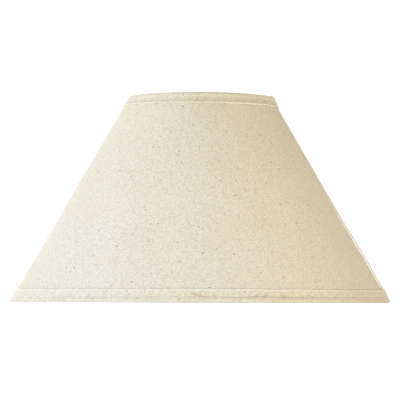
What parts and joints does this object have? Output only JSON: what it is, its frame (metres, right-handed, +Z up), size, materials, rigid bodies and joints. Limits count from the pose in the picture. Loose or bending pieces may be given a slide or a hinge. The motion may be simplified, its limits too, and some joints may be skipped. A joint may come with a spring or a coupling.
{
  "type": "lamp shade",
  "caption": "Conical empire lamp shade of oatmeal linen on a styrene liner, with folded linen trims over wire rings and a washer spider fitter.",
  "frame": {"origin": "centre of the bottom rim, on the surface that the shade stands on", "axes": "+Z up the shade's axis, +X towards the lap seam at its right-hand edge, -Y the side seen from the front"},
  "size_m": [0.4081, 0.4064, 0.2199],
  "materials": {
    "linen": "natural oatmeal linen, plain weave with fine flecks and slubs",
    "linen_trim": "the same linen, folded and glued as a band",
    "styrene": "smooth white sheet styrene",
    "tape": "double-sided tape",
    "steel_wire": "drawn steel wire",
    "brass_plate": "brass-plated steel"
  },
  "bodies": {
    "root": {"linen_cover": "linen", "styrene_liner": "styrene", "lap_tape": "tape", "top_trim": "linen_trim", "bottom_trim": "linen_trim", "top_ring": "steel_wire", "bottom_ring": "steel_wire", "fitter_washer": "brass_plate", "spider_arm_1": "brass_plate", "spider_arm_2": "brass_plate", "spider_arm_3": "brass_plate"}
  },
  "joints": []
}
